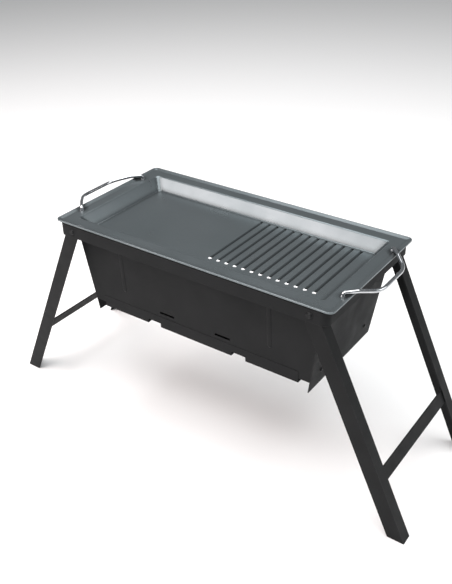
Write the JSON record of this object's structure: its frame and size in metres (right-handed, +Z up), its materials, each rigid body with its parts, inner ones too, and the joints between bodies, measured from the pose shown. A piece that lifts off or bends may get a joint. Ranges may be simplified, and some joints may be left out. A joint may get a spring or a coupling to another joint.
{
  "type": "hibachi grill",
  "caption": "Portable charcoal hibachi: a griddle tray, half flat and half grooved, lifts off a tapered steel firebox that stands on two folding leg frames.",
  "frame": {"origin": "on the ground, under the middle of the tray", "axes": "+X along the tray's long side, +Y to the back, +Z up"},
  "size_m": [0.9202, 0.304, 0.4193],
  "materials": {
    "griddle_coating": "cast aluminium with a satin grey non-stick coating",
    "chromed_rod": "polished chrome plate",
    "black_stove_paint": "matte black heat-resistant paint on folded sheet steel",
    "black_leg_paint": "black powder coat on steel angle",
    "black_fasteners": "black oxide steel",
    "zinc_fasteners": "zinc plated steel",
    "bare_wire": "bare drawn steel wire, welded",
    "pan_steel": "plain cold-rolled sheet steel"
  },
  "bodies": {
    "firebox": {"front_panel": "black_stove_paint", "rear_panel": "black_stove_paint", "left_end_plate": "black_stove_paint", "right_end_plate": "black_stove_paint", "front_rim_rail": "black_stove_paint", "rear_rim_rail": "black_stove_paint", "left_rim_rail": "black_stove_paint", "right_rim_rail": "black_stove_paint", "panel_screws": "black_fasteners", "front_grate_ledge": "black_stove_paint", "rear_grate_ledge": "black_stove_paint", "ash_pan": "pan_steel", "left_pivot_bolts": "black_fasteners", "left_pivot_washers": "zinc_fasteners", "left_pivot_nuts": "zinc_fasteners", "right_pivot_bolts": "black_fasteners", "right_pivot_washers": "zinc_fasteners", "right_pivot_nuts": "zinc_fasteners"},
    "griddle": {"griddle_tray": "griddle_coating", "left_handle": "chromed_rod", "right_handle": "chromed_rod", "left_handle_collars": "chromed_rod", "right_handle_collars": "chromed_rod"},
    "grate": {"charcoal_grate": "bare_wire"},
    "left_legs": {"left_front_leg": "black_leg_paint", "left_rear_leg": "black_leg_paint", "left_cross_brace": "black_leg_paint", "left_brace_gussets": "black_leg_paint"},
    "right_legs": {"right_front_leg": "black_leg_paint", "right_rear_leg": "black_leg_paint", "right_cross_brace": "black_leg_paint", "right_brace_gussets": "black_leg_paint"}
  },
  "joints": [
    {"name": "griddle_lift_off", "type": "slide", "parent": "firebox", "child": "griddle", "axis": [0, 0, 1], "range_m": [0, 0.15]},
    {"name": "grate_lift", "type": "slide", "parent": "firebox", "child": "grate", "axis": [0, 0, 1], "range_m": [0, 0.07]},
    {"name": "left_legs_fold", "type": "hinge", "parent": "firebox", "child": "left_legs", "pos_m": [-0.259, 0, 0.394], "axis": [0, -1, 0], "range_deg": [0, 58]},
    {"name": "right_legs_fold", "type": "hinge", "parent": "firebox", "child": "right_legs", "pos_m": [0.259, 0, 0.394], "axis": [0, 1, 0], "range_deg": [0, 58]}
  ]
}
